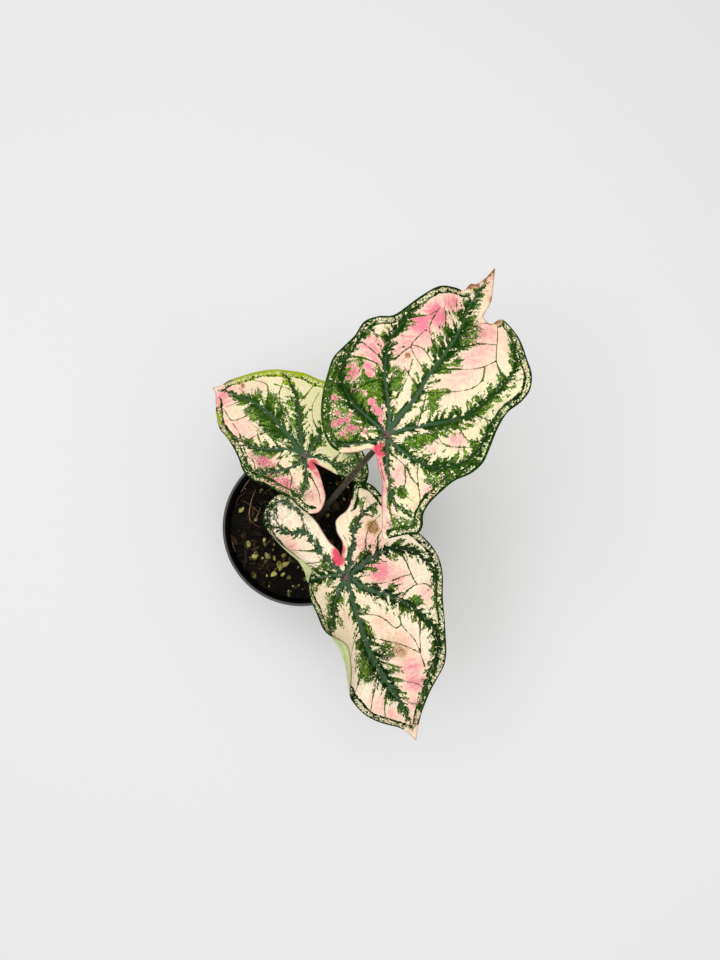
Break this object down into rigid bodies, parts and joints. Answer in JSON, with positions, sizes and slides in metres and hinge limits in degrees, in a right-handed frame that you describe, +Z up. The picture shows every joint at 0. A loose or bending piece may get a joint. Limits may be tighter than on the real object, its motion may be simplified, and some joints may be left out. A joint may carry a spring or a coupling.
{
  "type": "potted caladium plant",
  "caption": "Young caladium with broad heart-shaped leaves, veined green over cream and pink, on slender stems rising from potting mix in a small round nursery pot.",
  "frame": {"origin": "centre of the pot's base, on its underside", "axes": "+Z up out of the pot, +Y towards the back of the plant, +X to the right; the front leaf points towards -Y"},
  "size_m": [0.1738, 0.2675, 0.2035],
  "materials": {
    "pot_plastic": "thin black moulded plastic with a slight sheen",
    "potting_mix": "damp, nearly black potting mix with bark and light grit",
    "tuber": "rough brown tuber skin",
    "petiole": "smooth, nearly black olive stem",
    "leaf": "thin matte leaf, cream and pink with green veins and margin"
  },
  "bodies": {
    "root": {"pot": "pot_plastic", "potting_mix": "potting_mix", "tuber": "tuber", "tall_leaf_petiole": "petiole", "tall_leaf_blade": "leaf", "back_leaf_petiole": "petiole", "back_leaf_blade": "leaf", "front_leaf_petiole": "petiole", "front_leaf_blade": "leaf"}
  },
  "joints": []
}
